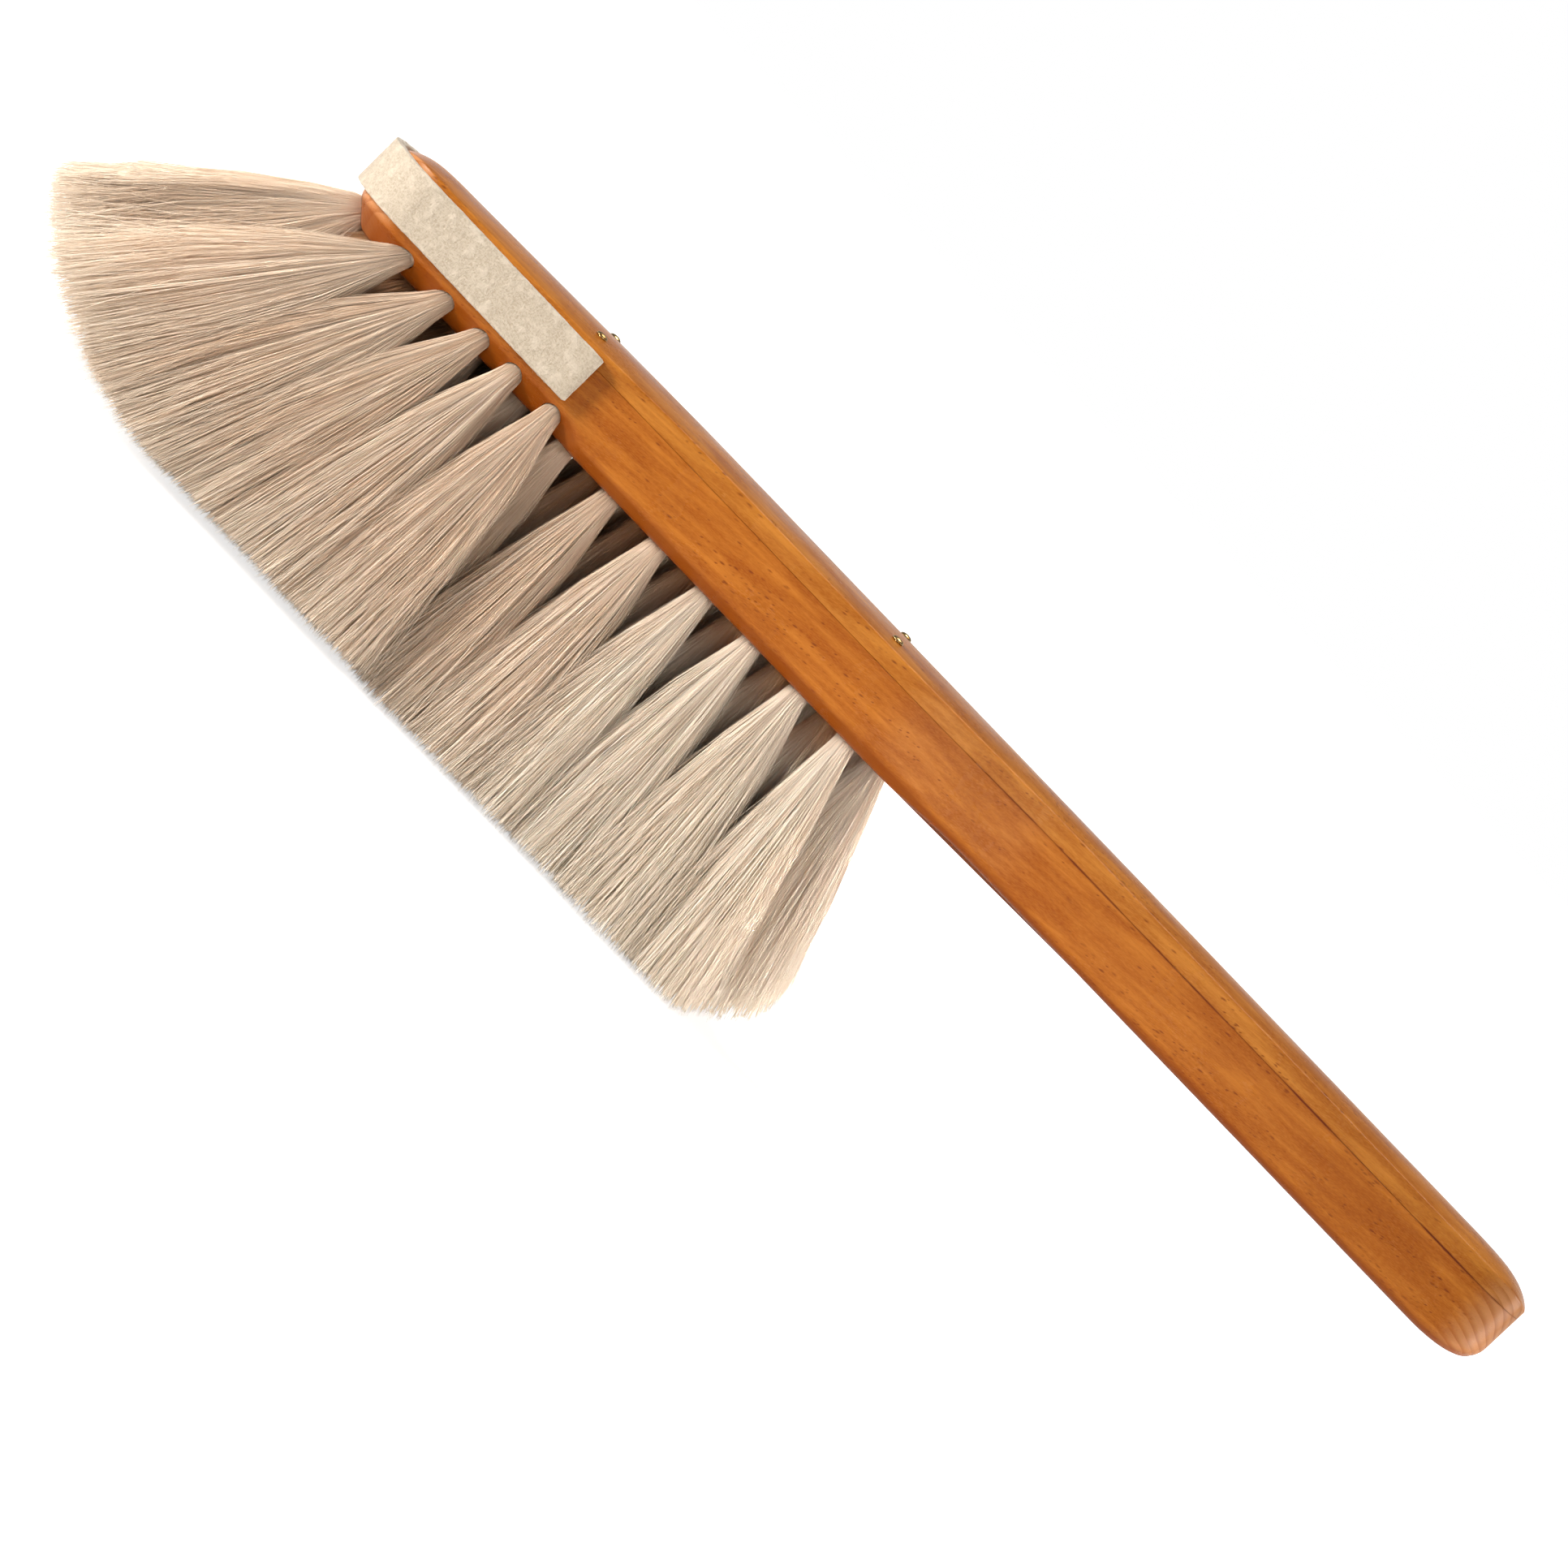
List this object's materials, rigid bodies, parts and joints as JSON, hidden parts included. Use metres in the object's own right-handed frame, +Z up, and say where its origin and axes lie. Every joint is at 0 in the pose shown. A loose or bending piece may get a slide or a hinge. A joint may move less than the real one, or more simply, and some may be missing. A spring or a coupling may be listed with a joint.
{
  "type": "dusting brush",
  "caption": "Long wooden hand brush: soft hair tufts in drilled rows fan forward round a felt-bound nose, behind them a slim rounded handle.",
  "frame": {"origin": "centre of the overall box on the plane that the hair tips stand on", "axes": "+Z up from the hair tips to the crowned back, +X along the brush from the nose to the end of the handle; left is -Y"},
  "size_m": [0.4078, 0.075, 0.0918],
  "materials": {
    "lower_board": "oiled satin beech, warm orange brown",
    "cover_board": "oiled satin beech, warm orange brown, crowned back",
    "felt": "thick off-white wool felt, matt",
    "hair": "fine cream goat hair, darker between the tufts",
    "brass": "small domed brass pin heads",
    "drawing_wire": "drawn steel wire, hidden"
  },
  "bodies": {
    "root": {"lower_board": "lower_board", "cover_board": "cover_board", "felt_strip": "felt", "pin_front_left": "brass", "pin_front_right": "brass", "pin_rear_left": "brass", "pin_rear_right": "brass", "drawing_wire_front": "drawing_wire", "drawing_wire_outer_left": "drawing_wire", "drawing_wire_outer_right": "drawing_wire", "drawing_wire_centre": "drawing_wire", "tuft_nose": "hair", "tuft_front_left_1": "hair", "tuft_front_left_2": "hair", "tuft_front_left_3": "hair", "tuft_front_left_4": "hair", "tuft_front_left_5": "hair", "tuft_front_right_1": "hair", "tuft_front_right_2": "hair", "tuft_front_right_3": "hair", "tuft_front_right_4": "hair", "tuft_front_right_5": "hair", "tuft_outer_left_01": "hair", "tuft_outer_left_02": "hair", "tuft_outer_left_03": "hair", "tuft_outer_left_04": "hair", "tuft_outer_left_05": "hair", "tuft_outer_left_06": "hair", "tuft_outer_left_07": "hair", "tuft_outer_left_08": "hair", "tuft_outer_left_09": "hair", "tuft_outer_left_10": "hair", "tuft_outer_right_01": "hair", "tuft_outer_right_02": "hair", "tuft_outer_right_03": "hair", "tuft_outer_right_04": "hair", "tuft_outer_right_05": "hair", "tuft_outer_right_06": "hair", "tuft_outer_right_07": "hair", "tuft_outer_right_08": "hair", "tuft_outer_right_09": "hair", "tuft_outer_right_10": "hair", "tuft_centre_01": "hair", "tuft_centre_02": "hair", "tuft_centre_03": "hair", "tuft_centre_04": "hair", "tuft_centre_05": "hair", "tuft_centre_06": "hair", "tuft_centre_07": "hair", "tuft_centre_08": "hair", "tuft_centre_09": "hair", "tuft_centre_10": "hair", "tuft_centre_11": "hair", "tuft_centre_12": "hair"}
  },
  "joints": []
}
